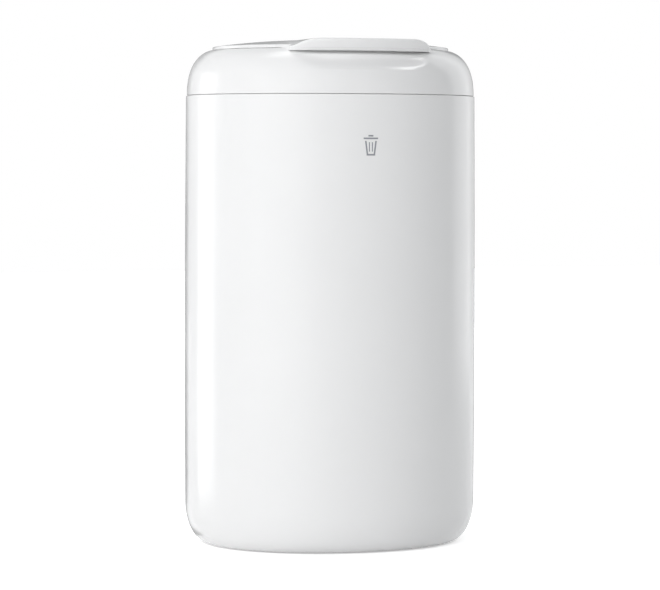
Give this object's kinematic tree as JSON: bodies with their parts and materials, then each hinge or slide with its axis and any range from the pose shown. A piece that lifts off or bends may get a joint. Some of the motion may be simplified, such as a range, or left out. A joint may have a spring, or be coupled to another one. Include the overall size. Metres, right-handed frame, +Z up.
{
  "type": "waste bin",
  "caption": "Small oval washroom waste bin in white plastic with a lift-off collar, a domed flap opened by a front lip, and a liner ring inside.",
  "frame": {"origin": "on the floor, under the middle of the outline", "axes": "+Z up through the bin, -Y towards the front with the grip lip, +X to the right seen from the front"},
  "size_m": [0.1766, 0.14, 0.3032],
  "materials": {
    "gloss_white": "glossy moulded white plastic",
    "satin_white": "satin moulded off-white plastic",
    "grey_rubber": "dull dark grey rubber",
    "pin_steel": "drawn steel wire"
  },
  "bodies": {
    "bucket": {"bucket_shell": "gloss_white", "foot_pad_front_left": "grey_rubber", "foot_pad_front_right": "grey_rubber", "foot_pad_back_left": "grey_rubber", "foot_pad_back_right": "grey_rubber"},
    "bag_ring": {"bag_ring": "satin_white"},
    "collar": {"lid_collar": "gloss_white", "hinge_pin_left": "pin_steel", "hinge_pin_right": "pin_steel", "bumper_left": "grey_rubber", "bumper_right": "grey_rubber"},
    "flap": {"flap": "gloss_white"}
  },
  "joints": [
    {"name": "bag_ring_lift", "type": "slide", "parent": "bucket", "child": "bag_ring", "axis": [0, 0, 1], "range_m": [0, 0.06]},
    {"name": "collar_lift", "type": "slide", "parent": "bag_ring", "child": "collar", "axis": [0, 0, 1], "range_m": [0, 0.06]},
    {"name": "flap_hinge", "type": "hinge", "parent": "collar", "child": "flap", "pos_m": [0, 0.044, 0.2974], "axis": [-1, 0, 0], "range_deg": [0, 85]}
  ]
}
